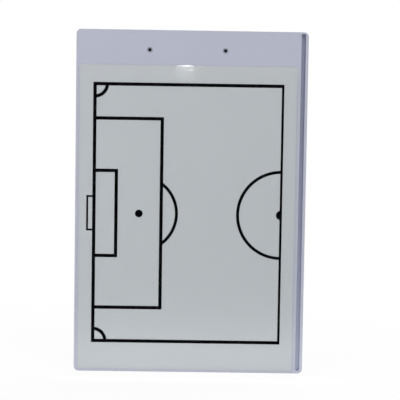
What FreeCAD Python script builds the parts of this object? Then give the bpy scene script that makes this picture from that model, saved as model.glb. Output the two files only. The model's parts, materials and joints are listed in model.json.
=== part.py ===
import FreeCAD, Part
import Sketcher
import math
import os
import re

# Hand-held football tactics board. The board stands upright, +Z up and +X to the right of someone who
# looks at the half-pitch face, which points to -Y. The clip is on the +Y side. The origin is the middle of
# the bottom edge, halfway through the board's thickness.

Vector = FreeCAD.Vector

# Driving dimensions in millimetres. Names that end in angle are degrees, in count are numbers of things,
# and in share are parts of the size that they follow.
SIZES = {
    # A4 card sheets and their print
    "sheet_width": 210.0,
    "sheet_height": 297.0,
    "sheet_thickness": 0.3,
    "ink_thickness": 0.05,
    # Clear covers: a pocket for the sheet, with a welded seam round it
    "film_thickness": 0.3,
    "film_clearance": 0.1,
    "film_side_clearance": 0.5,
    "film_seam": 1.9,
    "film_corner": 3.5,
    "film_lip_radius": 30.0,
    "film_lip_angle": 13.0,
    # Board panel: the bare strips beside the covers, the channel and the clip set its size
    "board_thickness": 5.0,
    "board_corner": 4.5,
    "board_edge": 0.5,
    "land_left": 1.2,
    "land_foot": 0.6,
    "land_clip": 0.65,
    "land_head": 1.5,
    "land_channel": 1.0,
    # Channel down the right edge, where a pen's clip hooks over the rail
    "channel_width": 4.2,
    "channel_rail": 2.7,
    "channel_floor": 0.8,
    "channel_foot": 2.7,
    "channel_head": 1.7,
    "channel_foot_corner_share": 0.43,
    "channel_head_corner_share": 0.19,
    # Half pitch, goal line on the left
    "half_margin_left": 12.9,
    "half_margin_right": 12.1,
    "half_margin_foot": 25.75,
    "half_margin_head": 16.75,
    "half_line": 3.3,
    "half_arc_line": 3.0,
    "half_middle_line": 2.35,
    "half_goal_line": 1.85,
    "half_box_depth_share": 0.3717,
    "half_box_width_share": 0.7396,
    "half_area_depth_share": 0.1341,
    "half_area_width_share": 0.34,
    "half_goal_depth_share": 0.45,
    "half_goal_width_share": 0.136,
    "half_spot_distance_share": 0.2453,
    "half_spot_radius_share": 0.0147,
    "half_box_arc_share": 0.1443,
    "half_circle_share": 0.1657,
    "half_centre_share": 0.0184,
    "half_corner_share": 0.0468,
    # Full pitch, goals at the top and the bottom
    "full_margin_end": 17.5,
    "full_margin_side": 20.0,
    "full_line": 2.0,
    "full_goal_line": 1.2,
    "full_box_depth_share": 0.158,
    "full_box_width_share": 0.594,
    "full_area_depth_share": 0.0534,
    "full_area_width_share": 0.27,
    "full_goal_depth_share": 0.29,
    "full_goal_width_share": 0.112,
    "full_spot_distance_share": 0.105,
    "full_spot_radius_share": 0.0106,
    "full_circle_share": 0.1353,
    "full_corner_share": 0.0353,
    # Clip: its place beside the sheet's middle and what its pieces share
    "clip_offset": 1.3,
    "clip_plate": 1.0,
    "pivot_rise": 1.5,
    "running_clearance": 0.05,
    # Clip base
    "base_end": 7.4,
    "base_front_land": 4.1,
    "base_rear_land": 2.0,
    "base_corner": 4.0,
    "ear_spread": 50.8,
    "ear_wall": 1.3,
    "ear_gap": 0.6,
    # Clip jaw and its thumb lever
    "jaw_overhang": 10.0,
    "jaw_crest_gap": 0.6,
    "jaw_arc": 11.5,
    "jaw_gap": 0.3,
    "jaw_wing_gap": 1.1,
    "jaw_wing_corner": 2.5,
    "jaw_shoulder": 4.0,
    "jaw_bend": 7.5,
    "lever_gap": 0.2,
    "lever_angle": 20.0,
    "lever_length": 15.2,
    "lever_corner": 6.0,
    "hang_hole_radius": 4.0,
    "hang_hole_share": 0.59,
    # Hinge pin
    "pin_radius": 1.5,
    "pin_head_lip": 0.8,
    "pin_head": 0.9,
    "pin_end_play": 0.2,
    # Torsion springs
    "spring_wire": 1.2,
    "spring_side_count": 10,
    "spring_turn_count": 4,
    "spring_turn_gap": 0.5,
    "spring_pin_gap": 0.7,
    "spring_gap": 0.1,
    "spring_ear_gap": 1.8,
    "spring_base_leg": 8.0,
    "spring_lever_leg": 9.5,
    # Tubular rivets
    "rivet_radius": 2.0,
    "rivet_wall": 0.6,
    "rivet_land": 1.5,
    "rivet_head_lip": 1.4,
    "rivet_head": 1.5,
    "rivet_head_edge": 0.5,
    "rivet_cap": 0.6,
    "rim_lip": 0.6,
    "rim_height": 0.8,
    "rim_sink": 0.1,
    # How far a cut runs past the face that it opens
    "overrun": 1.0,
}

# Sizes and places that follow from the driving ones
FITS = {
    # Covers and sheets, from the lower left corner of the half-pitch face
    "cover_side": "film_side_clearance + film_thickness + film_seam",
    "sheet_left": "land_left + cover_side",
    "sheet_foot": "land_foot + film_seam + film_thickness + film_clearance",
    "sheet_head": "sheet_foot + sheet_height",
    "pocket_depth": "2 * film_clearance + sheet_thickness + ink_thickness",
    "pocket_head": "sheet_head + film_side_clearance",
    "lip_inner": "film_lip_radius + film_thickness",
    "lip_foot": "pocket_head - lip_inner * sin(film_lip_angle)",
    # Half pitch
    "half_length": "sheet_width - half_margin_left - half_margin_right",
    "half_width": "sheet_height - half_margin_foot - half_margin_head",
    "half_box_depth": "half_box_depth_share * half_length",
    "half_box_width": "half_box_width_share * half_width",
    "half_area_depth": "half_area_depth_share * half_length",
    "half_area_width": "half_area_width_share * half_width",
    "half_goal_depth": "half_goal_depth_share * half_margin_left",
    "half_goal_width": "half_goal_width_share * half_width",
    "half_spot_distance": "half_spot_distance_share * half_length",
    "half_spot_radius": "half_spot_radius_share * half_width",
    "half_box_arc_radius": "half_box_arc_share * half_width",
    "half_circle_radius": "half_circle_share * half_width",
    "half_centre_radius": "half_centre_share * half_width",
    "half_corner_radius": "half_corner_share * half_width",
    # Full pitch
    "full_length": "sheet_height - 2 * full_margin_end",
    "full_width": "sheet_width - 2 * full_margin_side",
    "full_box_depth": "full_box_depth_share * full_length",
    "full_box_width": "full_box_width_share * full_width",
    "full_area_depth": "full_area_depth_share * full_length",
    "full_area_width": "full_area_width_share * full_width",
    "full_goal_depth": "full_goal_depth_share * full_margin_end",
    "full_goal_width": "full_goal_width_share * full_width",
    "full_spot_distance": "full_spot_distance_share * full_length",
    "full_spot_radius": "full_spot_radius_share * full_width",
    "full_circle_radius": "full_circle_share * full_width",
    "full_corner_radius": "full_corner_share * full_width",
    # Springs on the pin, and the height that they give the clip's hinge
    "spring_radius": "pin_radius + spring_pin_gap + spring_wire / 2",
    "spring_pitch": "spring_wire + spring_turn_gap",
    "coil_outside": "spring_radius + spring_wire / 2",
    "pivot_height": "clip_plate + spring_gap + coil_outside",
    "pin_head_radius": "pin_radius + pin_head_lip",
    # Ears, and the rivets outside the windows that the ears were cut from
    "ear_radius": "pin_radius + ear_wall",
    "ear_outside": "ear_spread / 2",
    "jaw_ear_outside": "ear_outside + ear_gap + clip_plate",
    "window_length": "pivot_height - clip_plate + ear_radius",
    "rivet_bore": "rivet_radius - rivet_wall",
    "rivet_head_radius": "rivet_radius + rivet_head_lip",
    "rim_radius": "rivet_radius + rim_lip",
    "rivet_out": "ear_outside + window_length + rivet_land + rivet_head_radius",
    # Clip base, from the hinge pin
    "base_half": "rivet_out + base_end",
    "base_front": "pivot_rise + rivet_head_radius + base_front_land",
    "base_rear": "spring_base_leg + base_rear_land",
    # Clip jaw, from the hinge pin
    "jaw_half": "rivet_out + rivet_head_radius + jaw_overhang",
    "jaw_crest": "coil_outside + jaw_crest_gap",
    "jaw_centre": "jaw_crest - jaw_arc",
    "jaw_outer_arc": "jaw_arc + clip_plate",
    "jaw_lip": "jaw_gap - pivot_height",
    "jaw_drop": "jaw_lip - jaw_centre",
    "jaw_wing_front": "pivot_rise + rivet_head_radius + jaw_wing_gap",
    "under_bend": "jaw_bend + clip_plate",
    "bend_centre": "jaw_crest + under_bend",
    "lever_level": "coil_outside + lever_gap + under_bend * (1 - cos(lever_angle))",
    "jaw_setback": "(lever_level - jaw_crest * cos(lever_angle)) / sin(lever_angle)",
    "lip_reach": "jaw_setback + sqrt(jaw_outer_arc * jaw_outer_arc - jaw_drop * jaw_drop)",
    "lever_top": "under_bend * sin(lever_angle) - jaw_setback + lever_length * cos(lever_angle)",
    "hang_hole_along": "hang_hole_share * lever_length",
    # The clip's place and the board's outline
    "clip_left": "sheet_left + sheet_width / 2 - clip_offset",
    "pivot_up": "sheet_head + cover_side + land_clip + lip_reach",
    "board_width": "sheet_left + sheet_width + cover_side + land_channel + channel_width + channel_rail",
    "board_height": "pivot_up + lever_top + land_head",
}


def bound(formula):
    """The formula with each size's name pointed at its cell."""

    def cell(word):
        name = word[0]
        if name in SIZES:
            return f"dims.{name}"
        return f"fits.{name}" if name in FITS else name

    return re.sub(r"[a-z]\w*", cell, formula)


doc = FreeCAD.newDocument("tactics_board")
dims = doc.addObject("Spreadsheet::Sheet", "dims")
for row, (alias, size) in enumerate(SIZES.items(), start=1):
    dims.set(f"A{row}", alias)
    dims.set(f"B{row}", str(size))
    dims.setAlias(f"B{row}", alias)
doc.recompute()
fits = doc.addObject("Spreadsheet::Sheet", "fits")
for row, alias in enumerate(FITS, start=1):
    fits.set(f"A{row}", alias)
    fits.setAlias(f"B{row}", alias)
for row, formula in enumerate(FITS.values(), start=1):
    fits.set(f"B{row}", "=" + bound(formula))
doc.recompute()

LEFT = 1
RIGHT = -1


def value(formula):
    """The formula's number at the sheet's present sizes."""
    return float(dims.evalExpression(bound(formula)))


def bind(thing, **formulas):
    """Ties properties to formulas. Double underscores in a property's name stand for dots."""
    for name, formula in formulas.items():
        thing.setExpression(name.replace("__", "."), bound(formula))


def new_body(label, x="0", y="0", z="0", half_turn=False):
    """An empty body at a place given by formulas, turned to face the clip side if asked."""
    body = doc.addObject("PartDesign::Body", label)
    body.Label = label
    if half_turn:
        body.Placement = FreeCAD.Placement(Vector(), FreeCAD.Rotation(Vector(0, 0, 1), 180))
    bind(body, Placement__Base__x=x, Placement__Base__y=y, Placement__Base__z=z)
    return body


def origin_plane(body, role):
    return next(feature for feature in body.Origin.OriginFeatures if feature.Role == role)


def new_sketch(body, name, role, lift="0"):
    """An empty sketch on one of the body's own planes, lifted along that plane's normal."""
    sketch = body.newObject("Sketcher::SketchObject", name)
    sketch.AttachmentSupport = [(origin_plane(body, role), "")]
    sketch.MapMode = "FlatFace"
    bind(sketch, AttachmentOffset__Base__z=lift)
    return sketch


def tie(sketch, kind, *place, formula):
    """Adds one driving constraint and ties it to its formula."""
    index = sketch.addConstraint(Sketcher.Constraint(kind, *place, value(formula)))
    sketch.setExpression(f"Constraints[{index}]", bound(formula))


def draw(sketch, corners):
    """Draws a closed outline. Each corner is (across, up), which starts a straight line, or (across, up,
    radius, turn), which starts an arc of under a half circle that turns LEFT or RIGHT."""
    first = sketch.GeometryCount
    spots = [Vector(value(corner[0]), value(corner[1]), 0) for corner in corners]
    ends = []
    for corner, here, there in zip(corners, spots, spots[1:] + spots[:1]):
        if len(corner) == 2:
            sketch.addGeometry(Part.LineSegment(here, there), False)
            ends.append((1, 2))
            continue
        radius, turn = value(corner[2]), corner[3]
        chord = there - here
        inward = Vector(-chord.y, chord.x, 0).normalize() * turn
        centre = (here + there) / 2 + inward * math.sqrt(max(radius**2 - chord.Length**2 / 4, 0))
        circle = Part.Circle(centre, Vector(0, 0, 1), radius)
        begin, finish = (here, there) if turn == LEFT else (there, here)
        sketch.addGeometry(Part.ArcOfCircle(circle, circle.parameter(begin), circle.parameter(finish)), False)
        ends.append((1, 2) if turn == LEFT else (2, 1))
    for index, (corner, end) in enumerate(zip(corners, ends)):
        following = (index + 1) % len(corners)
        link = Sketcher.Constraint("Coincident", first + index, end[1], first + following, ends[following][0])
        sketch.addConstraint(link)
        tie(sketch, "DistanceX", -1, 1, first + index, end[0], formula=corner[0])
        tie(sketch, "DistanceY", -1, 1, first + index, end[0], formula=corner[1])
        if len(corner) > 2:
            tie(sketch, "Radius", first + index, formula=corner[2])


def draw_circle(sketch, across, up, radius):
    centre = Vector(value(across), value(up), 0)
    index = sketch.addGeometry(Part.Circle(centre, Vector(0, 0, 1), value(radius)), False)
    tie(sketch, "DistanceX", -1, 1, index, 3, formula=across)
    tie(sketch, "DistanceY", -1, 1, index, 3, formula=up)
    tie(sketch, "Radius", index, formula=radius)


def rectangle(left, foot, right, head):
    return [(left, foot), (right, foot), (right, head), (left, head)]


def rounded(left, foot, right, head, foot_radius, head_radius):
    """Corners of a rectangle with one radius at its two lower corners and one at its two upper ones."""
    low, high = f"({foot_radius})", f"({head_radius})"
    return [
        (f"{left} + {low}", foot),
        (f"{right} - {low}", foot, low, LEFT),
        (right, f"{foot} + {low}"),
        (right, f"{head} - {high}", high, LEFT),
        (f"{right} - {high}", head),
        (f"{left} + {high}", head, high, LEFT),
        (left, f"{head} - {high}"),
        (left, f"{foot} + {low}", low, LEFT),
    ]


def pad(sketch, length, backwards=False, both_ways=False):
    feature = sketch.getParentGeoFeatureGroup().newObject("PartDesign::Pad", sketch.Name + "_pad")
    feature.Profile = sketch
    feature.Reversed = backwards
    feature.Midplane = both_ways
    bind(feature, Length=length)
    return feature


def pocket(sketch, depth, backwards=False, both_ways=False):
    feature = sketch.getParentGeoFeatureGroup().newObject("PartDesign::Pocket", sketch.Name + "_cut")
    feature.Profile = sketch
    feature.Reversed = backwards
    feature.Midplane = both_ways
    bind(feature, Length=depth)
    return feature


def mirror_across_middle(body, features, name):
    """Repeats features on the other side of the body's own YZ plane."""
    mirrored = body.newObject("PartDesign::Mirrored", name)
    mirrored.Originals = features
    mirrored.MirrorPlane = (origin_plane(body, "YZ_Plane"), [""])
    body.Tip = mirrored
    return mirrored


def revolve(sketch, axis):
    feature = sketch.getParentGeoFeatureGroup().newObject("PartDesign::Revolution", sketch.Name + "_turn")
    feature.Profile = sketch
    feature.ReferenceAxis = (sketch, [axis])
    feature.Angle = 360
    return feature


def ease_edges(base, kind, name, wanted, **size):
    """Fillets or chamfers the edges of a feature for which wanted(edge) is true."""
    doc.recompute()
    edges = [f"Edge{number}" for number, edge in enumerate(base.Shape.Edges, start=1) if wanted(edge)]
    feature = base.getParentGeoFeatureGroup().newObject(f"PartDesign::{kind}", name)
    feature.Base = (base, edges)
    bind(feature, **size)
    return feature


# Board panel: a stiff plastic sheet, with the channel milled from the half-pitch face
def board_panel():
    body = new_body("board_panel")
    sketch = new_sketch(body, "board_outline", "XZ_Plane")
    edge = "board_width / 2"
    draw(sketch, rounded(f"-{edge}", "0", edge, "board_height", "board_corner", "board_corner"))
    slab = pad(sketch, "board_thickness", both_ways=True)
    half = value("board_thickness / 2")
    ease_edges(
        slab, "Chamfer", "board_edges",
        lambda e: all(abs(abs(v.Y) - half) < Part.Precision.confusion() for v in e.Vertexes),
        Size="board_edge",
    )
    channel = new_sketch(body, "channel", "XZ_Plane", "board_thickness / 2")
    right = "board_width / 2 - channel_rail"
    draw(channel, rounded(
        f"{right} - channel_width", "channel_foot", right, "board_height - channel_head",
        "channel_foot_corner_share * channel_width", "channel_head_corner_share * channel_width",
    ))
    pocket(channel, "board_thickness - channel_floor")
    holes = new_sketch(body, "rivet_holes", "XZ_Plane", "board_thickness / 2")
    seats = new_sketch(body, "rivet_seats", "XZ_Plane", "board_thickness / 2")
    for side in ("+", "-"):
        place = (f"clip_left - board_width / 2 {side} rivet_out", "pivot_up - pivot_rise")
        draw_circle(holes, *place, "rivet_radius + running_clearance")
        draw_circle(seats, *place, "rim_radius + running_clearance")
    pocket(holes, "board_thickness + overrun")
    pocket(seats, "rim_height + rim_sink")


# Card sheet, its print and its clear cover, laid on a face of the board. Seen from in front of that face,
# places run from the board's lower left corner, and the sketch planes' normal points out of the face.
def face_body(label, clip_side):
    across, out = "board_width / 2", "board_thickness / 2"
    return new_body(label, across if clip_side else f"-{across}", out if clip_side else f"-{out}",
                    half_turn=clip_side)


def sheet_left_on(clip_side):
    return "(board_width - sheet_left - sheet_width)" if clip_side else "sheet_left"


def card_sheet(label, clip_side):
    body = face_body(label, clip_side)
    left = sheet_left_on(clip_side)
    sketch = new_sketch(body, label + "_outline", "XZ_Plane", "film_clearance")
    draw(sketch, rectangle(left, "sheet_foot", f"{left} + sheet_width", "sheet_head"))
    pad(sketch, "sheet_thickness")


def clear_cover(label, clip_side):
    """Film with a raised pocket for the sheet. On the clip side its seam runs all round. On the other side
    it is open at the top, where a lip turns outwards for a thumb."""
    body = face_body(label, clip_side)
    left = f"{sheet_left_on(clip_side)} - film_side_clearance"
    right = f"{sheet_left_on(clip_side)} + sheet_width + film_side_clearance"
    foot = "sheet_foot - film_clearance"
    seam_head = "pocket_head + film_thickness + film_seam" if clip_side else "pocket_head"
    raised_head = "pocket_head + film_thickness" if clip_side else "lip_foot"
    hollow_head = "pocket_head" if clip_side else "pocket_head + overrun"
    seam = new_sketch(body, label + "_seam", "XZ_Plane")
    draw(seam, rounded(
        f"{left} - film_thickness - film_seam", f"{foot} - film_thickness - film_seam",
        f"{right} + film_thickness + film_seam", seam_head, "film_corner", "film_corner",
    ))
    pad(seam, "film_thickness")
    raised = new_sketch(body, label + "_raised", "XZ_Plane")
    draw(raised, rectangle(f"{left} - film_thickness", f"{foot} - film_thickness",
                           f"{right} + film_thickness", raised_head))
    pad(raised, "pocket_depth + film_thickness")
    hollow = new_sketch(body, label + "_hollow", "XZ_Plane")
    draw(hollow, rectangle(left, foot, right, hollow_head))
    pocket(hollow, "pocket_depth", backwards=True)
    if clip_side:
        return
    lip = new_sketch(body, label + "_lip", "YZ_Plane", f"{left} - film_thickness")
    centre = "-pocket_depth - lip_inner"
    draw(lip, [
        ("-pocket_depth", "lip_foot", "lip_inner", LEFT),
        (f"{centre} + lip_inner * cos(film_lip_angle)", "pocket_head"),
        (f"{centre} + film_lip_radius * cos(film_lip_angle)",
         "lip_foot + film_lip_radius * sin(film_lip_angle)", "film_lip_radius", RIGHT),
        (f"{centre} + film_lip_radius", "lip_foot"),
    ])
    pad(lip, f"{right} - ({left}) + 2 * film_thickness")


class Print:
    """Lines of ink on a card sheet, each padded from its own sketch."""

    def __init__(self, label, clip_side):
        self.body = face_body(label, clip_side)
        self.count = 0

    def line_sketch(self):
        self.count += 1
        lift = "film_clearance + sheet_thickness"
        return new_sketch(self.body, f"{self.body.Label}_{self.count}", "XZ_Plane", lift)

    def shape(self, *outlines):
        sketch = self.line_sketch()
        for outline in outlines:
            draw(sketch, outline)
        pad(sketch, "ink_thickness")

    def disc(self, across, up, radius):
        sketch = self.line_sketch()
        draw_circle(sketch, across, up, radius)
        pad(sketch, "ink_thickness")

    def ring(self, across, up, radius, line):
        sketch = self.line_sketch()
        draw_circle(sketch, across, up, f"{radius} + {line} / 2")
        draw_circle(sketch, across, up, f"{radius} - {line} / 2")
        pad(sketch, "ink_thickness")


def bracket(base, reach, middle, width, line, upright):
    """A three-sided box drawn from a base line: reach is how far it goes, signed. An upright one stands on a
    level base line and the other kind on a vertical one."""
    inner = f"({reach} - {line})" if not reach.startswith("-") else f"({reach} + {line})"
    outline = [
        (base, f"{middle} - {width} / 2"),
        (f"{base} + {reach}", f"{middle} - {width} / 2"),
        (f"{base} + {reach}", f"{middle} + {width} / 2"),
        (base, f"{middle} + {width} / 2"),
        (base, f"{middle} + {width} / 2 - {line}"),
        (f"{base} + {inner}", f"{middle} + {width} / 2 - {line}"),
        (f"{base} + {inner}", f"{middle} - {width} / 2 + {line}"),
        (base, f"{middle} - {width} / 2 + {line}"),
    ]
    return [(up, across) for across, up in outline] if upright else outline


def frame_line(left, foot, right, head, line, right_line):
    """A rectangle of line: its outer and inner outlines. Its right side may have a line of its own."""
    return (
        rectangle(left, foot, right, head),
        rectangle(f"{left} + {line}", f"{foot} + {line}", f"{right} - {right_line}", f"{head} - {line}"),
    )


def corner_arc(across, up, radius, line, x_side, y_side):
    """A quarter ring about a corner of the pitch. The sides are + or -, towards the pitch's middle."""
    outer, inner = f"({radius} + {line} / 2)", f"({radius} - {line} / 2)"
    turn = LEFT if x_side == y_side else RIGHT
    return [
        (f"{across} {x_side} {outer}", up, outer, turn),
        (across, f"{up} {y_side} {outer}"),
        (across, f"{up} {y_side} {inner}", inner, -turn),
        (f"{across} {x_side} {inner}", up),
    ]


def cap_arc(along, middle, radius, line, cut, away, upright):
    """The part of a ring that lies beyond a cut line, seen from the ring's centre. The signed side away is
    + or -, and cut is how far the cut line lies from the centre."""
    outer, inner = f"({radius} + {line} / 2)", f"({radius} - {line} / 2)"
    wide = f"sqrt({outer} * {outer} - {cut} * {cut})"
    narrow = f"sqrt({inner} * {inner} - {cut} * {cut})"
    turn = LEFT if away == "+" else RIGHT
    turn = -turn if upright else turn
    outline = [
        (f"{along} {away} {cut}", f"{middle} - {wide}", outer, turn),
        (f"{along} {away} {cut}", f"{middle} + {wide}"),
        (f"{along} {away} {cut}", f"{middle} + {narrow}", inner, -turn),
        (f"{along} {away} {cut}", f"{middle} - {narrow}"),
    ]
    return [(c[1], c[0], *c[2:]) for c in outline] if upright else outline


# Half pitch: goal on the left, halfway line on the right with half of the centre circle
def half_pitch_markings():
    ink = Print("half_pitch_markings", clip_side=False)
    left = "sheet_left + half_margin_left"
    foot = "sheet_foot + half_margin_foot"
    right, head = f"{left} + half_length", f"{foot} + half_width"
    middle = f"{foot} + half_width / 2"
    ink.shape(*frame_line(left, foot, right, head, "half_line", "half_middle_line"))
    ink.shape(bracket(left, "half_box_depth", middle, "half_box_width", "half_line", upright=False))
    ink.shape(bracket(left, "half_area_depth", middle, "half_area_width", "half_line", upright=False))
    goal_line = f"{left} + half_line / 2"
    goal_reach = "-(half_goal_depth + half_line / 2)"
    ink.shape(bracket(goal_line, goal_reach, middle, "half_goal_width", "half_goal_line", upright=False))
    spot = f"{left} + half_spot_distance"
    ink.disc(spot, middle, "half_spot_radius")
    ink.shape(cap_arc(spot, middle, "half_box_arc_radius", "half_arc_line",
                      "(half_box_depth - half_line / 2 - half_spot_distance)", "+", upright=False))
    halfway = f"{right} - half_middle_line / 2"
    ring_outer = "(half_circle_radius + half_arc_line / 2)"
    ring_inner = "(half_circle_radius - half_arc_line / 2)"
    ink.shape([
        (halfway, f"{middle} + {ring_outer}", ring_outer, LEFT),
        (f"{halfway} - {ring_outer}", middle, ring_outer, LEFT),
        (halfway, f"{middle} - {ring_outer}"),
        (halfway, f"{middle} - {ring_inner}", ring_inner, RIGHT),
        (f"{halfway} - {ring_inner}", middle, ring_inner, RIGHT),
        (halfway, f"{middle} + {ring_inner}"),
    ])
    ink.shape([
        (halfway, f"{middle} + half_centre_radius", "half_centre_radius", LEFT),
        (f"{halfway} - half_centre_radius", middle, "half_centre_radius", LEFT),
        (halfway, f"{middle} - half_centre_radius"),
    ])
    corner_x = f"{left} + half_line / 2"
    ink.shape(corner_arc(corner_x, f"{foot} + half_line / 2", "half_corner_radius", "half_line", "+", "+"))
    ink.shape(corner_arc(corner_x, f"{head} - half_line / 2", "half_corner_radius", "half_line", "+", "-"))


# Full pitch: a goal at each end, centred on the sheet
def full_pitch_markings():
    ink = Print("full_pitch_markings", clip_side=True)
    middle = f"{sheet_left_on(True)} + sheet_width / 2"
    centre = "sheet_foot + sheet_height / 2"
    left, right = f"{middle} - full_width / 2", f"{middle} + full_width / 2"
    foot, head = f"{centre} - full_length / 2", f"{centre} + full_length / 2"
    ink.shape(*frame_line(left, foot, right, head, "full_line", "full_line"))
    line_inset = "full_line / 2"
    ink.shape(rectangle(f"{left} + {line_inset}", f"{centre} - {line_inset}",
                        f"{right} - {line_inset}", f"{centre} + {line_inset}"))
    ink.ring(middle, centre, "full_circle_radius", "full_line")
    ink.disc(middle, centre, "full_spot_radius")
    for goal_line, inward, outward in ((foot, "+", "-"), (head, "-", "+")):
        sign = "-" if inward == "-" else ""
        for depth, width in (("full_box_depth", "full_box_width"), ("full_area_depth", "full_area_width")):
            ink.shape(bracket(goal_line, sign + depth, middle, width, "full_line", upright=True))
        goal_base = f"{goal_line} {inward} {line_inset}"
        goal_sign = "-" if outward == "-" else ""
        goal_reach = f"{goal_sign}(full_goal_depth + {line_inset})"
        ink.shape(bracket(goal_base, goal_reach, middle, "full_goal_width", "full_goal_line", upright=True))
        spot = f"{goal_line} {inward} full_spot_distance"
        ink.disc(middle, spot, "full_spot_radius")
        cut = f"(full_box_depth - {line_inset} - full_spot_distance)"
        ink.shape(cap_arc(spot, middle, "full_circle_radius", "full_line", cut, inward, upright=True))
        for side_line, side in ((left, "+"), (right, "-")):
            ink.shape(corner_arc(f"{side_line} {side} {line_inset}", goal_base,
                                 "full_corner_radius", "full_line", side, inward))


# Clip pieces are drawn about the hinge pin's middle, with Y out of the clip side of the board
CLIP_PLACE = {
    "x": "clip_left - board_width / 2",
    "y": "board_thickness / 2 + pivot_height",
    "z": "pivot_up",
}
PIN_HOLE = "pin_radius + running_clearance"


def clip_base():
    """Pressed plate under the rivet heads. Its two ears are cut from the plate and bent up."""
    body = new_body("clip_base", **CLIP_PLACE)
    plate = new_sketch(body, "base_outline", "XZ_Plane", "pivot_height")
    draw(plate, rounded("-base_half", "-base_front", "base_half", "base_rear", "base_corner", "base_corner"))
    pad(plate, "clip_plate", backwards=True)
    holes = new_sketch(body, "base_rivet_holes", "XZ_Plane", "pivot_height")
    for side in ("+", "-"):
        draw_circle(holes, f"0 {side} rivet_out", "-pivot_rise", "rivet_radius + running_clearance")
    pocket(holes, "clip_plate + overrun")
    window = new_sketch(body, "base_ear_window", "XZ_Plane", "pivot_height")
    draw(window, rectangle("ear_outside", "-ear_radius", "ear_outside + window_length", "ear_radius"))
    opened = pocket(window, "clip_plate + overrun")
    ear = new_sketch(body, "base_ear", "YZ_Plane", "ear_outside - clip_plate")
    draw(ear, [
        ("-pivot_height", "ear_radius"),
        ("-pivot_height", "-ear_radius"),
        ("0", "-ear_radius", "ear_radius", LEFT),
        ("ear_radius", "0", "ear_radius", LEFT),
        ("0", "ear_radius"),
    ])
    draw_circle(ear, "0", "0", PIN_HOLE)
    raised = pad(ear, "clip_plate")
    mirror_across_middle(body, [opened, raised], "base_other_ear")


def jaw_profile():
    """Side view of the jaw, as (out of the board, up): a curved lip, a crest over the springs, the lever."""
    top_out = "bend_centre - jaw_bend * cos(lever_angle)"
    top_up = "jaw_bend * sin(lever_angle) - jaw_setback"
    under_out = "bend_centre - under_bend * cos(lever_angle)"
    under_up = "under_bend * sin(lever_angle) - jaw_setback"
    out_run, up_run = "lever_length * sin(lever_angle)", "lever_length * cos(lever_angle)"
    return [
        ("jaw_lip", "-jaw_setback - sqrt(jaw_arc * jaw_arc - jaw_drop * jaw_drop)", "jaw_arc", LEFT),
        ("jaw_crest", "-jaw_setback", "under_bend", RIGHT),
        (under_out, under_up),
        (f"{under_out} + {out_run}", f"{under_up} + {up_run}"),
        (f"{top_out} + {out_run}", f"{top_up} + {up_run}"),
        (top_out, top_up, "jaw_bend", LEFT),
        ("jaw_crest + clip_plate", "-jaw_setback", "jaw_outer_arc", RIGHT),
        ("jaw_lip", "-lip_reach"),
    ]


def clip_jaw():
    """Jaw and thumb lever, pressed from one plate. Wings widen the lip below the rivet heads, and two ears
    bent down from the lever's sides turn on the pin."""
    body = new_body("clip_jaw", **CLIP_PLACE)
    profile = new_sketch(body, "jaw_profile", "YZ_Plane")
    draw(profile, jaw_profile())
    pad(profile, "2 * jaw_half", both_ways=True)
    lever_side, wing_side = "jaw_ear_outside", "jaw_half"
    high = "lever_top + overrun"
    notch = new_sketch(body, "jaw_notch", "XZ_Plane")
    draw(notch, [
        (lever_side, "jaw_shoulder - jaw_wing_front", "jaw_shoulder", LEFT),
        (f"{lever_side} + jaw_shoulder", "-jaw_wing_front"),
        (f"{wing_side} - jaw_wing_corner", "-jaw_wing_front", "jaw_wing_corner", RIGHT),
        (wing_side, "-jaw_wing_front - jaw_wing_corner"),
        (f"{wing_side} + overrun", "-jaw_wing_front - jaw_wing_corner"),
        (f"{wing_side} + overrun", high),
        (lever_side, high),
    ])
    notched = pocket(notch, "2 * (jaw_arc + lever_length)", both_ways=True)
    mirror_across_middle(body, [notched], "jaw_other_notch")
    ear = new_sketch(body, "jaw_ear", "YZ_Plane", "jaw_ear_outside - clip_plate")
    rear_top = ("bend_centre - under_bend * cos(lever_angle) + clip_plate / 2"
                " + (ear_radius + jaw_setback - under_bend * sin(lever_angle)) * tan(lever_angle)")
    draw(ear, [
        ("jaw_crest + clip_plate / 2", "-ear_radius"),
        (rear_top, "ear_radius"),
        ("0", "ear_radius", "ear_radius", LEFT),
        ("-ear_radius", "0", "ear_radius", LEFT),
        ("0", "-ear_radius"),
    ])
    draw_circle(ear, "0", "0", PIN_HOLE)
    bent = pad(ear, "clip_plate")
    mirror_across_middle(body, [bent], "jaw_other_ear")
    hole = new_sketch(body, "hang_hole", "XZ_Plane")
    hole.AttachmentOffset = FreeCAD.Placement(Vector(), FreeCAD.Rotation(Vector(-1, 0, 0), 1))
    bind(
        hole,
        AttachmentOffset__Rotation__Angle="lever_angle",
        AttachmentOffset__Base__y="jaw_bend * sin(lever_angle) - jaw_setback"
                                  " + hang_hole_along * cos(lever_angle)",
        AttachmentOffset__Base__z="jaw_bend * cos(lever_angle) - bend_centre"
                                  " - hang_hole_along * sin(lever_angle)",
    )
    draw_circle(hole, "0", "0", "hang_hole_radius")
    cut = pocket(hole, "2 * (clip_plate + overrun)", both_ways=True)
    side, thickness, middle = value("jaw_ear_outside"), value("clip_plate"), value("lever_top / 2")
    ease_edges(
        cut, "Fillet", "lever_corners",
        lambda e: len(e.Vertexes) == 2
        and all(v.Z > middle for v in e.Vertexes)
        and abs(e.Length - thickness) < Part.Precision.confusion()
        and abs(abs(e.Vertexes[0].X) - side) < Part.Precision.confusion(),
        Radius="lever_corner",
    )


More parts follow.
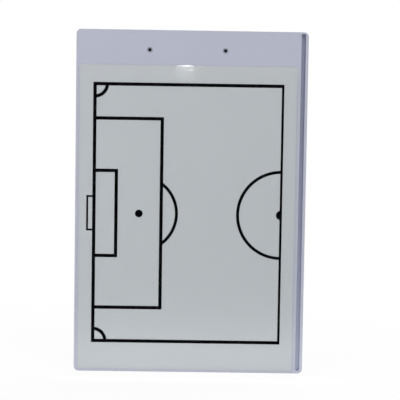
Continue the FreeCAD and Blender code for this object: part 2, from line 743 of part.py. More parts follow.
def clip_pin():
    """Hinge pin with a head at each end, outside the jaw's ears."""
    body = new_body("clip_pin", **CLIP_PLACE)
    sketch = new_sketch(body, "pin_profile", "XY_Plane")
    shank = "(jaw_ear_outside + pin_end_play)"
    tip = f"({shank} + pin_head)"
    draw(sketch, [
        (f"-{tip}", "0"),
        (tip, "0"),
        (tip, "pin_head_radius - pin_head / 2"),
        (f"{tip} - pin_head / 2", "pin_head_radius"),
        (shank, "pin_head_radius"),
        (shank, "pin_radius"),
        (f"-{shank}", "pin_radius"),
        (f"-{shank}", "pin_head_radius"),
        (f"-{tip} + pin_head / 2", "pin_head_radius"),
        (f"-{tip}", "pin_head_radius - pin_head / 2"),
    ])
    revolve(sketch, "H_Axis")


def tubular_rivet(label, side):
    """Rivet with a domed head on the clip base and a hollow shank, rolled over in the board's far face."""
    x = f"clip_left - board_width / 2 {side} rivet_out"
    body = new_body(label, x, "board_thickness / 2 + clip_plate", "pivot_up - pivot_rise")
    sketch = new_sketch(body, label + "_profile", "XY_Plane")
    end = "(rim_sink - board_thickness - clip_plate)"
    dome = "((rivet_head_radius * rivet_head_radius + (rivet_head - rivet_head_edge)"
    dome += " * (rivet_head - rivet_head_edge)) / (2 * (rivet_head - rivet_head_edge)))"
    roll = "(rim_height / 2)"
    draw(sketch, [
        ("0", "rivet_head"),
        ("0", "-rivet_cap"),
        ("rivet_bore", "-rivet_cap"),
        ("rivet_bore", f"{end} + {roll}"),
        (f"rivet_bore + {roll}", end),
        (f"rim_radius - {roll}", end),
        ("rim_radius", f"{end} + {roll}"),
        ("rim_radius", f"{end} + rim_height"),
        ("rivet_radius", f"{end} + rim_height"),
        ("rivet_radius", "0"),
        ("rivet_head_radius", "0"),
        ("rivet_head_radius", "rivet_head_edge", dome, LEFT),
    ])
    revolve(sketch, "V_Axis")


# Torsion springs: one leg lies on the clip base, the coil goes round the pin, the other leg lifts the lever
def tangent_arc(start, tangent_point, finish):
    """The arc from start to finish whose end tangents meet at tangent_point."""
    middle = (start + finish) / 2
    half_chord = (finish - start).Length / 2
    turn = math.acos(half_chord / (tangent_point - start).Length)
    crown = middle + (tangent_point - middle).normalize() * (half_chord * math.tan(turn / 2))
    return Part.Arc(start, crown, finish).toShape()


def biarc(start, start_way, finish, finish_way):
    """Two tangent arcs from one point and direction to another."""
    span = finish - start
    ways = start_way + finish_way
    spread = 2 * (1 - start_way.dot(finish_way))
    reach = (math.sqrt(span.dot(ways) ** 2 + spread * span.dot(span)) - span.dot(ways)) / spread
    leave, arrive = start + start_way * reach, finish - finish_way * reach
    join = (leave + arrive) / 2
    return [tangent_arc(start, leave, join), tangent_arc(join, arrive, finish)]


def spring_path(side):
    """Edges of one spring's wire. side is -1 for the left spring and 1 for the right one."""
    radius, pitch = value("spring_radius"), value("spring_pitch")
    outer_end = value("ear_outside - clip_plate - spring_ear_gap")
    turns = round(value("spring_turn_count"))
    sweep = 2 * math.pi * turns - math.radians(value("lever_angle")) - math.pi
    climb = pitch / (2 * math.pi)
    steps = math.ceil(sweep / math.pi)

    def spot(share):
        angle = math.pi + sweep * share
        x = side * (outer_end - climb * sweep * share)
        return Vector(x, radius * math.cos(angle), radius * math.sin(angle))

    def way(share):
        angle = math.pi + sweep * share
        return Vector(-side * climb, -radius * math.sin(angle), radius * math.cos(angle)).normalize()

    shares = [step / steps for step in range(steps + 1)]
    edges = [Part.LineSegment(spot(0) - way(0) * value("spring_base_leg"), spot(0)).toShape()]
    for begin, finish in zip(shares, shares[1:]):
        edges += biarc(spot(begin), way(begin), spot(finish), way(finish))
    edges.append(Part.LineSegment(spot(1), spot(1) + way(1) * value("spring_lever_leg")).toShape())
    return edges


def least_gap(edges, wire):
    """The smallest gap between parts of the wire that are more than a quarter turn apart along it."""
    points, run = [], [0.0]
    for edge in edges:
        points += edge.discretize(Distance=wire / 4)[:-1]
    for here, there in zip(points, points[1:]):
        run.append(run[-1] + (there - here).Length)
    apart = math.pi / 2 * value("spring_radius")
    return min(
        (points[i] - points[j]).Length - wire
        for i in range(len(points))
        for j in range(i)
        if run[i] - run[j] > apart
    )


def torsion_spring(label, side):
    edges = spring_path(side)
    wire = value("spring_wire")
    start = edges[0].Vertexes[0].Point
    along = edges[0].tangentAt(edges[0].FirstParameter)
    circle = Part.Circle(start, along, wire / 2)
    sides = round(value("spring_side_count"))
    corners = [circle.value(2 * math.pi * step / sides) for step in range(sides)]
    section = Part.makePolygon(corners + corners[:1])
    spring = doc.addObject("Part::Feature", label)
    spring.Label = label
    spring.Shape = Part.Wire(edges).makePipeShell([section], True, False)
    spring.Placement = FreeCAD.Placement(
        Vector(*(value(CLIP_PLACE[axis]) for axis in "xyz")), FreeCAD.Rotation()
    )
    print(f"{label}: least gap of the wire to itself {least_gap(edges, wire):.2f} mm")


board_panel()
card_sheet("half_pitch_sheet", clip_side=False)
half_pitch_markings()
clear_cover("back_cover", clip_side=False)
card_sheet("full_pitch_sheet", clip_side=True)
full_pitch_markings()
clear_cover("front_cover", clip_side=True)
clip_base()
clip_jaw()
clip_pin()
tubular_rivet("rivet_left", "-")
tubular_rivet("rivet_right", "+")
torsion_spring("spring_left", -1)
torsion_spring("spring_right", 1)

doc.recompute()
failed = [thing.Label for thing in doc.Objects if {"Invalid", "Error"} & set(thing.State)]
if failed:
    raise RuntimeError(f"failed objects: {failed}")
sub_parts = [
    thing for thing in doc.Objects
    if thing.isDerivedFrom("PartDesign::Body") or thing.TypeId == "Part::Feature"
]
for sub_part in sub_parts:
    if sub_part.Shape.isNull() or not sub_part.Shape.isValid():
        raise RuntimeError(f"{sub_part.Label} has no valid shape")
os.makedirs("parts", exist_ok=True)
for sub_part in sub_parts:
    sub_part.Shape.exportStep(f"parts/{sub_part.Label}.step")
    print(sub_part.Label, len(sub_part.Shape.Solids), f"{sub_part.Shape.Volume:.1f}")
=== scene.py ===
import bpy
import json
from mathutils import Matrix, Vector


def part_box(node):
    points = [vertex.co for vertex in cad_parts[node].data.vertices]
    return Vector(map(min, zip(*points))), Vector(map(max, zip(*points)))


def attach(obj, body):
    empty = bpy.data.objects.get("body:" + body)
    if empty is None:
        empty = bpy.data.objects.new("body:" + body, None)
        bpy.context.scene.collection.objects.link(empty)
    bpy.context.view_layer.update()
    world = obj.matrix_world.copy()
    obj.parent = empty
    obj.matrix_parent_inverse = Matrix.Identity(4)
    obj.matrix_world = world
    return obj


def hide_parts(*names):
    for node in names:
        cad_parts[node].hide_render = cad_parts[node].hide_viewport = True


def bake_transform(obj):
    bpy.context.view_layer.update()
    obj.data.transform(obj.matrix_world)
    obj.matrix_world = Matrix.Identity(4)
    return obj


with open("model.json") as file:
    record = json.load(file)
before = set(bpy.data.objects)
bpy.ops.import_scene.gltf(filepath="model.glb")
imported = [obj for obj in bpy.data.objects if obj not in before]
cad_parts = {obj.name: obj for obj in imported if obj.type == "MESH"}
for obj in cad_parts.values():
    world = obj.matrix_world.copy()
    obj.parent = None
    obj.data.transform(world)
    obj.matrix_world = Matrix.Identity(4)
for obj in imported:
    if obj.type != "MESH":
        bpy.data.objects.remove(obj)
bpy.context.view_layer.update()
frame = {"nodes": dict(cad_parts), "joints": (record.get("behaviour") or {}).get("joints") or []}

import json
import math

import bmesh
import bpy
from mathutils import Vector

# Board panel
# A sheet of rigid PVC a little larger than A4, lilac-white right through. It is cut to its outline, a channel
# is milled down one long edge, and its faces keep the smooth, faintly pebbled skin of the press plates.
MM = 0.001
CLOUD = 55 * MM
RUB_WIDTH, RUB_LENGTH, RUB_TURN = 2 * MM, 45 * MM, 0.5
PEBBLE, PEBBLE_DEPTH = 0.9 * MM, 0.03 * MM
CHANNEL_MIDDLE, CHANNEL_HALF = 107.45 * MM, 2.1 * MM
FACE_SKIN = 0.3 * MM
# Painted shade in the channel: the size of its patches, the depth where it is full, and the height where it
# is darkest.
SHADE_PATCH, SHADE_DEPTH, SHADE_RISE = 3 * MM, 1.8 * MM, 230 * MM


def srgb(code):
    """A colour written as sRGB hex, as linear RGBA."""
    parts = [int(code[start:start + 2], 16) / 255 for start in (0, 2, 4)]
    return (*(c / 12.92 if c <= 0.04045 else ((c + 0.055) / 1.055) ** 2.4 for c in parts), 1.0)


def new_material(name):
    """An empty node material and its node tree."""
    material = bpy.data.materials.new(name)
    material.use_nodes = True
    material.node_tree.nodes.clear()
    return material, material.node_tree


def add_node(tree, kind, inputs=None, **settings):
    """Adds a node with its settings. An input given as another node's socket is linked, any other is set."""
    node = tree.nodes.new(kind)
    for name, setting in settings.items():
        setattr(node, name, setting)
    for key, given in (inputs or {}).items():
        if isinstance(given, bpy.types.NodeSocket):
            tree.links.new(given, node.inputs[key])
        else:
            node.inputs[key].default_value = given
    return node


def dress(node_names, material):
    """Gives a material to CAD nodes that keep their own meshes."""
    for name in node_names:
        for slot in frame["nodes"][name].material_slots:
            slot.material = material


# Rigid PVC, pressed between polished plates: one even colour with a faint cloudiness, a soft sheen, and fine
# rubs from being carried. The pebble is drawn at 0.9 mm, coarser than the real one, so that it shows.
pvc, tree = new_material("pressed_rigid_pvc")
place = add_node(tree, "ShaderNodeTexCoord").outputs["Object"]
clouds = add_node(tree, "ShaderNodeTexNoise", {"Vector": place, "Scale": 1 / CLOUD, "Detail": 2.0})
tone = add_node(tree, "ShaderNodeMix", {
    "Factor": clouds.outputs["Fac"], "A": srgb("AFB2C2"), "B": srgb("B4B7C7"),
}, data_type="RGBA")
along_board = add_node(tree, "ShaderNodeMapping", {
    "Vector": place, "Rotation": (0.0, RUB_TURN, 0.0),
    "Scale": (1 / RUB_WIDTH, 1 / RUB_WIDTH, 1 / RUB_LENGTH),
})
rubs = add_node(tree, "ShaderNodeTexNoise", {"Vector": along_board.outputs["Vector"], "Detail": 3.0})

# The milled channel is painted with light and shade: paler than the faces at its foot, as painted light from
# below, and greyer higher up in uneven patches, as painted shade in the deep groove.
board_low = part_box("board_panel")[0]
across_up = add_node(tree, "ShaderNodeSeparateXYZ", {"Vector": place}).outputs
beside = add_node(tree, "ShaderNodeMath", {
    0: across_up["X"], 1: CHANNEL_MIDDLE, 2: CHANNEL_HALF + FACE_SKIN,
}, operation="COMPARE")
depth = add_node(tree, "ShaderNodeMapRange", {
    "Value": across_up["Y"], "From Min": board_low.y + FACE_SKIN, "From Max": board_low.y + SHADE_DEPTH,
})
inside = add_node(tree, "ShaderNodeMath", {
    0: beside.outputs["Value"], 1: depth.outputs["Result"],
}, operation="MULTIPLY")
shade_noise = add_node(tree, "ShaderNodeTexNoise", {"Vector": place, "Scale": 1 / SHADE_PATCH, "Detail": 4.0})
shade_patches = add_node(tree, "ShaderNodeMapRange", {
    "Value": shade_noise.outputs["Fac"], "From Min": 0.3, "From Max": 0.7, "To Min": 0.75, "To Max": 1.0,
})
# Painted shade: none at the foot and full from 230 mm up, so the channel darkens towards the top.
shade_upwards = add_node(tree, "ShaderNodeMapRange", {"Value": across_up["Z"], "From Max": SHADE_RISE})
painted_shade_share = add_node(tree, "ShaderNodeMath", {
    0: shade_patches.outputs["Result"], 1: shade_upwards.outputs["Result"],
}, operation="MULTIPLY")
channel_light_and_shade = add_node(tree, "ShaderNodeMix", {
    "Factor": painted_shade_share.outputs["Value"], "A": srgb("B6BBCE"), "B": srgb("989CB3"),
}, data_type="RGBA")
board_tone = add_node(tree, "ShaderNodeMix", {
    "Factor": inside.outputs["Value"], "A": tone.outputs["Result"], "B": channel_light_and_shade.outputs["Result"],
}, data_type="RGBA")
sheen = add_node(tree, "ShaderNodeMapRange", {
    "Value": rubs.outputs["Fac"], "From Min": 0.35, "From Max": 0.7, "To Min": 0.36, "To Max": 0.48,
})
pebbles = add_node(tree, "ShaderNodeTexNoise", {"Vector": place, "Scale": 1 / PEBBLE, "Detail": 2.0})
skin = add_node(tree, "ShaderNodeBump", {
    "Height": pebbles.outputs["Fac"], "Strength": 0.12, "Distance": PEBBLE_DEPTH,
})
plastic = add_node(tree, "ShaderNodeBsdfPrincipled", {
    "Base Color": board_tone.outputs["Result"], "Roughness": sheen.outputs["Result"], "IOR": 1.53,
    "Normal": skin.outputs["Normal"],
})
add_node(tree, "ShaderNodeOutputMaterial", {"Surface": plastic.outputs["BSDF"]})
dress(["board_panel"], pvc)

# Card sheets
# Two A4 sheets of white printing card, one behind each clear cover. The one on the half-pitch face is loose
# in its pocket and pulls out at the top, the other is sealed in.
FORMATION = 6 * MM
FIBRE, FIBRE_DEPTH = 0.7 * MM, 0.02 * MM

# Coated card: a nearly even white with the cloudy look of pressed fibre, dull where it isn't covered.
card, tree = new_material("coated_white_card")
place = add_node(tree, "ShaderNodeTexCoord").outputs["Object"]
formation = add_node(tree, "ShaderNodeTexNoise", {"Vector": place, "Scale": 1 / FORMATION, "Detail": 4.0})
tone = add_node(tree, "ShaderNodeMix", {
    "Factor": formation.outputs["Fac"], "A": srgb("B9BEC5"), "B": srgb("BDC2C9"),
}, data_type="RGBA")
fibre = add_node(tree, "ShaderNodeTexNoise", {"Vector": place, "Scale": 1 / FIBRE, "Detail": 3.0})
tooth = add_node(tree, "ShaderNodeBump", {
    "Height": fibre.outputs["Fac"], "Strength": 0.15, "Distance": FIBRE_DEPTH,
})
paper = add_node(tree, "ShaderNodeBsdfPrincipled", {
    "Base Color": tone.outputs["Result"], "Roughness": 0.62, "Specular IOR Level": 0.3,
    "Normal": tooth.outputs["Normal"],
})
add_node(tree, "ShaderNodeOutputMaterial", {"Surface": paper.outputs["BSDF"]})
dress(["half_pitch_sheet", "full_pitch_sheet"], card)

# Pitch markings
# The lines of a half pitch and of a full pitch. Each set is printed on its card in one pass of solid black
# ink, so it is a thin layer on the card and goes where the card goes.
INK_PATCH = 2.5 * MM

# Press ink: near black, a little uneven where the card took more or less of it, and dull.
ink, tree = new_material("black_press_ink")
place = add_node(tree, "ShaderNodeTexCoord").outputs["Object"]
coverage = add_node(tree, "ShaderNodeTexNoise", {"Vector": place, "Scale": 1 / INK_PATCH, "Detail": 3.0})
tone = add_node(tree, "ShaderNodeMix", {
    "Factor": coverage.outputs["Fac"], "A": srgb("040508"), "B": srgb("0A0B0E"),
}, data_type="RGBA")
print_face = add_node(tree, "ShaderNodeBsdfPrincipled", {
    "Base Color": tone.outputs["Result"], "Roughness": 0.6, "Specular IOR Level": 0.0,
})
add_node(tree, "ShaderNodeOutputMaterial", {"Surface": print_face.outputs["BSDF"]})
dress(["half_pitch_markings", "full_pitch_markings"], ink)

# Clear covers
# Soft PVC film, welded to the board in a narrow seam and raised over the card. The back cover is open at the
# top, where its free edge leans out a little and waves. The front cover is sealed all round.
FILM, SEAM, SEAT = 0.28 * MM, 1.9 * MM, 0.02 * MM
POCKET_DEPTH, CLIMB = 0.55 * MM, 0.75 * MM
FILM_CORNER, FILM_STEP = 3.5 * MM, 9 * MM
SEAM_STEPS = [step * MM for step in (0, 0.6, 1.2, 1.7, 1.9, 2.05, 2.2, 2.4, 2.65, 3.2, 4.2)]
# The free edge leans out from 20 mm below, less so at its corners, and a fine wave runs along its last part.
FREE_RUN, FREE_BEND, FREE_LEAN, FREE_ROWS = 20 * MM, 3 * MM, 0.015, 84
FREE_CORNER = 14 * MM
WAVE, WAVE_LEAN, WAVE_CREST = 3.9 * MM, 0.004, 0.6 * MM
WAVE_RUN, WAVE_FADE = 8.6 * MM, 2.6 * MM
# The film lies a little slack over the card, in long shallow ripples.
RIPPLE, RIPPLE_ACROSS, RIPPLE_UP = 0.02 * MM, 31 * MM, 47 * MM
RIPPLE_START_ACROSS, RIPPLE_START_UP = 1.3, 0.4
SLACK, SLACK_DEPTH = 22 * MM, 0.25 * MM
SCUFF = 5 * MM
POLISH_RUN = 17 * MM
# Shares of light mirrored: face on, at the polished free edge, and what a glancing angle adds.
FACE_MIRROR, EDGE_MIRROR, GLANCE_MIRROR, GLANCE_POWER = 0.001, 0.04, 0.3, 4.0

# Clear film: it lets nearly all light through and mirrors more at a glancing angle. Handling has dulled it,
# apart from a strip along the free edge that is still polished, and scuffs make it unevenly hazy.
film, tree = new_material("clear_pvc_film")
place = add_node(tree, "ShaderNodeTexCoord").outputs["Object"]
glance = add_node(tree, "ShaderNodeLayerWeight", {"Blend": 0.5})
steep = add_node(tree, "ShaderNodeMath", {0: glance.outputs["Facing"], 1: GLANCE_POWER}, operation="POWER")
height = add_node(tree, "ShaderNodeSeparateXYZ", {"Vector": place}).outputs["Z"]
free_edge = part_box("back_cover")[1].z
polish = add_node(tree, "ShaderNodeMapRange", {
    "Value": height, "From Min": free_edge - POLISH_RUN, "From Max": free_edge,
    "To Min": FACE_MIRROR, "To Max": EDGE_MIRROR,
})
mirror_share = add_node(tree, "ShaderNodeMath", {
    0: steep.outputs["Value"], 1: GLANCE_MIRROR, 2: polish.outputs["Result"],
}, operation="MULTIPLY_ADD")
waves = add_node(tree, "ShaderNodeTexNoise", {"Vector": place, "Scale": 1 / SLACK, "Detail": 2.0})
slack = add_node(tree, "ShaderNodeBump", {
    "Height": waves.outputs["Fac"], "Strength": 0.04, "Distance": SLACK_DEPTH,
})
scuffs = add_node(tree, "ShaderNodeTexNoise", {"Vector": place, "Scale": 1 / SCUFF, "Detail": 2.0})
haze = add_node(tree, "ShaderNodeMapRange", {
    "Value": scuffs.outputs["Fac"], "From Min": 0.45, "From Max": 0.7, "To Min": 0.035, "To Max": 0.075,
})
through = add_node(tree, "ShaderNodeBsdfTransparent", {"Color": srgb("FEFEFD")})
gloss = add_node(tree, "ShaderNodeBsdfAnisotropic", {
    "Color": srgb("FFFFFF"), "Roughness": haze.outputs["Result"], "Normal": slack.outputs["Normal"],
})
mix = add_node(tree, "ShaderNodeMixShader", {
    0: mirror_share.outputs["Value"], 1: through.outputs["BSDF"], 2: gloss.outputs["BSDF"],
})
add_node(tree, "ShaderNodeOutputMaterial", {"Surface": mix.outputs["Shader"]})


def new_piece(name, mesh_maker, material):
    """A mesh object from a filled bmesh, with one material."""
    mesh = bpy.data.meshes.new(name)
    mesh_maker.to_mesh(mesh)
    mesh_maker.free()
    mesh.materials.append(material)
    piece = bpy.data.objects.new(name, mesh)
    bpy.context.scene.collection.objects.link(piece)
    return piece


def settle(piece, sharp_angle=40):
    """Makes the modifiers part of the mesh, and shades it smooth up to the given angle in degrees."""
    graph = bpy.context.evaluated_depsgraph_get()
    mesh = bpy.data.meshes.new_from_object(piece.evaluated_get(graph))
    piece.modifiers.clear()
    old, piece.data = piece.data, mesh
    bpy.data.meshes.remove(old)
    mesh.name = piece.name
    mesh.polygons.foreach_set("use_smooth", [True] * len(mesh.polygons))
    mesh.set_sharp_from_angle(angle=math.radians(sharp_angle))
    return piece


def stations(low, high):
    """Places from low to high across a film: close steps over the seams, and even ones between them."""
    first, last = low + SEAM_STEPS[-1], high - SEAM_STEPS[-1]
    count = max(2, round((last - first) / FILM_STEP))
    inner = [first + (last - first) * k / count for k in range(1, count)]
    return [low + step for step in SEAM_STEPS] + inner + [high - step for step in reversed(SEAM_STEPS)]


def fade(share):
    """A smooth step from 0 to 1."""
    share = min(max(share, 0), 1)
    return share * share * (3 - 2 * share)


def rise(distance):
    """How far the film has climbed, from 0 on the seam to 1 on the pocket, at a distance from its edge."""
    return fade((distance - SEAM) / CLIMB)


def free_edge_stand(below):
    """How far the film stands out at a distance below its free edge: a gentle lean, and a fine wave."""
    run = FREE_RUN - below
    lean = FREE_LEAN * (run - FREE_BEND / 2 if run > FREE_BEND else run * run / (2 * FREE_BEND))
    turns = (below - WAVE_CREST) / WAVE
    wave = WAVE_LEAN * WAVE / (2 * math.pi) * math.sin(2 * math.pi * turns)
    return lean + wave * fade((WAVE_RUN - below) / WAVE_FADE)


def corner_shift(inward, other):
    """How far a point moves in from one edge to round the corner, from its distances to both edges."""
    a, b = 1 - inward / FILM_CORNER, 1 - other / FILM_CORNER
    return FILM_CORNER * a * (1 - math.sqrt(1 - b * b / 2))


def clear_cover(node, outward, open_top):
    """The film over one card. outward is the side of the board it lies on, -1 or 1 along Y."""
    low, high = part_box(node)
    middle = (low + high) / 2
    board_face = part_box("board_panel")[0 if outward < 0 else 1].y
    across, upward = stations(low.x, high.x), stations(low.z, high.z)
    if open_top:
        upward = [z for z in upward if z < high.z - FREE_RUN]
        upward += [high.z - FREE_RUN * (1 - k / FREE_ROWS) for k in range(FREE_ROWS + 1)]
    shape = bmesh.new()
    rows = []
    for z in upward:
        up_in = min(z - low.z, high.z - z)
        climb_up = rise(z - low.z) if open_top else rise(up_in)
        wave_up = math.sin(z / RIPPLE_UP + RIPPLE_START_UP)
        row = []
        for x in across:
            across_in = min(x - low.x, high.x - x)
            climb = min(rise(across_in), climb_up)
            ripple = RIPPLE * math.sin(x / RIPPLE_ACROSS + RIPPLE_START_ACROSS) * wave_up * climb
            lift = SEAT + FILM / 2 + (POCKET_DEPTH + ripple) * climb
            if open_top and z > high.z - FREE_RUN:
                lift += climb * free_edge_stand(high.z - z) * fade(across_in / FREE_CORNER)
            spot = Vector((x, board_face + outward * lift, z))
            if across_in < FILM_CORNER and up_in < FILM_CORNER:
                spot.x += math.copysign(corner_shift(across_in, up_in), middle.x - x)
                spot.z += math.copysign(corner_shift(up_in, across_in), middle.z - z)
            row.append(shape.verts.new(spot))
        rows.append(row)
    for lower, upper in zip(rows, rows[1:]):
        for k in range(len(across) - 1):
            corners = [lower[k], lower[k + 1], upper[k + 1], upper[k]]
            shape.faces.new(corners if outward < 0 else corners[::-1])
    piece = new_piece(node.replace("cover", "film"), shape, film)
    wall = piece.modifiers.new("film_thickness", "SOLIDIFY")
    wall.thickness = FILM
    wall.offset = 0
    settle(piece, sharp_angle=60)
    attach(piece, "board")
    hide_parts(node)


clear_cover("back_cover", outward=-1, open_top=True)
clear_cover("front_cover", outward=1, open_top=False)

# Clip base
# A steel plate pressed in one blow: two rivet holes, and two ears sheared from the plate on three sides and
# bent up to carry the pin. It lies on the clip side of the board under the rivet heads, nickel plated.
hinge = Vector(next(joint["pos_m"] for joint in frame["joints"] if joint["name"] == "clip_hinge"))
PLATE = 1.0 * MM
EDGE_BREAK, EDGE_STEPS = 0.22 * MM, 4
FLAT_MARGIN = 0.08 * MM
CORNER_LIMIT = 0.3
CUT_TOLERANCE = 0.001 * MM
BASE_HALF, BASE_FRONT, BASE_REAR, BASE_CORNER = 44.0 * MM, 9.0 * MM, 10.0 * MM, 4.0 * MM
RIVET_OUT, RIVET_DOWN, RIVET_HOLE = 36.6 * MM, 1.5 * MM, 2.05 * MM
PIN_HOLE = 1.55 * MM
EAR_MIDDLE, EAR_RADIUS, EAR_STEPS = 24.9 * MM, 2.8 * MM, 12
EAR_BEND, EAR_BEND_STEPS = 1.0 * MM, 6
RELIEF = 0.5 * MM
HAIRLINE, HAIRLINE_LENGTH, HAIRLINE_DEPTH = 0.35 * MM, 25 * MM, 0.02 * MM
SMUDGE = 7 * MM

# Nickel plate on pressed steel: bright grey with hairline tool marks, dulled in patches by handling. The
# hairlines are drawn 0.35 mm apart so that they show.
nickel, tree = new_material("nickel_plated_steel")
place = add_node(tree, "ShaderNodeTexCoord").outputs["Object"]
rolled = add_node(tree, "ShaderNodeMapping", {
    "Vector": place, "Scale": (1 / HAIRLINE_LENGTH, 1 / HAIRLINE, 1 / HAIRLINE),
})
hairlines = add_node(tree, "ShaderNodeTexNoise", {"Vector": rolled.outputs["Vector"], "Detail": 2.0})
smudges = add_node(tree, "ShaderNodeTexNoise", {"Vector": place, "Scale": 1 / SMUDGE, "Detail": 3.0})
dullness = add_node(tree, "ShaderNodeMapRange", {
    "Value": smudges.outputs["Fac"], "From Min": 0.3, "From Max": 0.75, "To Min": 0.1, "To Max": 0.26,
})
tone = add_node(tree, "ShaderNodeMix", {
    "Factor": smudges.outputs["Fac"], "A": srgb("BBBCBF"), "B": srgb("A0A2A6"),
}, data_type="RGBA")
marks = add_node(tree, "ShaderNodeBump", {
    "Height": hairlines.outputs["Fac"], "Strength": 0.05, "Distance": HAIRLINE_DEPTH,
})
plating = add_node(tree, "ShaderNodeBsdfPrincipled", {
    "Base Color": tone.outputs["Result"], "Metallic": 1.0, "Roughness": dullness.outputs["Result"],
    "Normal": marks.outputs["Normal"],
})
add_node(tree, "ShaderNodeOutputMaterial", {"Surface": plating.outputs["BSDF"]})


def rounded_loop(corners, steps=6):
    """A closed outline from (x, y, radius) corners, each rounded by an arc of a few points."""
    points = []
    for index, (x, y, radius) in enumerate(corners):
        here = Vector((x, y))
        before = Vector(corners[index - 1][:2]) - here
        after = Vector(corners[(index + 1) % len(corners)][:2]) - here
        half = before.angle(after) / 2
        centre = here + (before.normalized() + after.normalized()).normalized() * (radius / math.sin(half))
        start = here + before.normalized() * (radius / math.tan(half)) - centre
        finish = here + after.normalized() * (radius / math.tan(half)) - centre
        turn = start.angle_signed(finish)
        for step in range(steps + 1):
            angle = -turn * step / steps
            points.append(centre + Vector((
                start.x * math.cos(angle) - start.y * math.sin(angle),
                start.x * math.sin(angle) + start.y * math.cos(angle),
            )))
    return points


def circle_loop(x, y, radius, steps=32):
    """The rim of a round hole, as points."""
    angles = [2 * math.pi * k / steps for k in range(steps)]
    return [Vector((x + radius * math.cos(a), y + radius * math.sin(a))) for a in angles]


def ear_end(centre, way):
    """The round end of an ear, from its upper corner to its lower one. way is 1 or -1 along x."""
    angles = [math.pi * (0.5 - way * k / EAR_STEPS) for k in range(EAR_STEPS + 1)]
    return [Vector((centre + EAR_RADIUS * math.cos(a), EAR_RADIUS * math.sin(a))) for a in angles]


def inset(loop, distance, hole):
    """The loop moved into the metal by a distance. Outlines run anticlockwise and so do holes.

    A sharp corner would move without limit, so it is held to the distance over CORNER_LIMIT.
    """
    moved = []
    for index, here in enumerate(loop):
        before = (here - loop[index - 1]).normalized()
        after = (loop[(index + 1) % len(loop)] - here).normalized()
        normal = Vector((-before.y - after.y, before.x + after.x)).normalized()
        reach = distance / max(normal.dot(Vector((-after.y, after.x))), CORNER_LIMIT)
        moved.append(here + normal * (-reach if hole else reach))
    return moved


def face_outwards(shape):
    """Turns the faces of a closed shape outwards. Its volume tells whether it was left inside out."""
    bmesh.ops.recalc_face_normals(shape, faces=shape.faces)
    if shape.calc_volume(signed=True) < 0:
        bmesh.ops.reverse_faces(shape, faces=shape.faces)


def pressed_plate(outline, holes):
    """A flat plate in X and Y, its middle at Z zero, with all its edges broken to a small round.

    A narrow margin inside each round keeps the flat faces level in reflections.
    """
    shape = bmesh.new()
    ring_places = [(EDGE_BREAK + FLAT_MARGIN, PLATE / 2)]
    for step in range(EDGE_STEPS + 1):
        angle = math.pi / 2 * step / EDGE_STEPS
        gap = EDGE_BREAK * (1 - math.sin(angle))
        ring_places.append((gap, PLATE / 2 - EDGE_BREAK * (1 - math.cos(angle))))
    ring_places += [(gap, -height) for gap, height in reversed(ring_places)]
    face_edges = {0: [], len(ring_places) - 1: []}
    for loop, hole in [(outline, False)] + [(h, True) for h in holes]:
        rings = []
        for gap, height in ring_places:
            spots = inset(loop, gap, hole) if gap else loop
            rings.append([shape.verts.new((p.x, p.y, height)) for p in spots])
        for upper, lower in zip(rings, rings[1:]):
            for k in range(len(loop)):
                quad = [upper[k - 1], lower[k - 1], lower[k], upper[k]]
                shape.faces.new(quad[::-1] if hole else quad)
        for level in face_edges:
            ring = rings[level]
            face_edges[level] += [shape.edges.get((ring[k - 1], ring[k])) for k in range(len(loop))]
    for edges in face_edges.values():
        bmesh.ops.triangle_fill(shape, edges=edges, use_beauty=True)
    face_outwards(shape)
    return shape


def slice_across(shape, axis, places):
    """Cuts a flat plate at places along an axis, so that it can bend there."""
    for spot in places:
        point, normal = Vector(), Vector()
        point[axis], normal[axis] = spot, 1
        everything = shape.verts[:] + shape.edges[:] + shape.faces[:]
        bmesh.ops.bisect_plane(shape, geom=everything, plane_co=point, plane_no=normal, dist=CUT_TOLERANCE)


bend_start = EAR_MIDDLE - EAR_BEND
bend_length = EAR_BEND * math.pi / 2
plate_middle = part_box("board_panel")[1].y + PLATE / 2
pin_along = bend_start + bend_length + hinge.y - plate_middle - EAR_BEND
ear_length = pin_along + EAR_RADIUS


def ear_slot(side):
    """The sheared slot round one ear, as the flat plate has it before the ear is bent up."""
    wide, far = EAR_RADIUS + RELIEF, ear_length + RELIEF
    cut = [(bend_start, -wide), (far, -wide), (far, wide), (bend_start, wide), (bend_start, EAR_RADIUS)]
    loop = [Vector(p) for p in cut] + ear_end(pin_along, 1) + [Vector((bend_start, -EAR_RADIUS))]
    return loop if side > 0 else [Vector((-p.x, p.y)) for p in reversed(loop)]


outline = rounded_loop([
    (-BASE_HALF, -BASE_FRONT, BASE_CORNER), (BASE_HALF, -BASE_FRONT, BASE_CORNER),
    (BASE_HALF, BASE_REAR, BASE_CORNER), (-BASE_HALF, BASE_REAR, BASE_CORNER),
])
holes = []
for side in (-1, 1):
    holes += [ear_slot(side), circle_loop(side * pin_along, 0, PIN_HOLE)]
    holes.append(circle_loop(side * RIVET_OUT, -RIVET_DOWN, RIVET_HOLE))
base = pressed_plate(outline, holes)
bends = [bend_start + bend_length * k / EAR_BEND_STEPS for k in range(EAR_BEND_STEPS + 1)]
slice_across(base, 0, [side * x for x in bends for side in (-1, 1)])
for vert in base.verts:
    x, up, lift = vert.co
    side, run = math.copysign(1, x), abs(x) - bend_start
    if run > 0 and abs(up) < EAR_RADIUS + RELIEF / 2 and abs(x) < ear_length + RELIEF / 2:
        angle = min(run / EAR_BEND, math.pi / 2)
        past = max(run - bend_length, 0)
        x = side * (bend_start + (EAR_BEND - lift) * math.sin(angle))
        lift = EAR_BEND - (EAR_BEND - lift) * math.cos(angle) + past
    vert.co = (hinge.x + x, plate_middle + lift, hinge.z + up)
face_outwards(base)
clip_base = settle(new_piece("clip_base_plate", base, nickel))
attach(clip_base, "board")
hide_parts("clip_base")

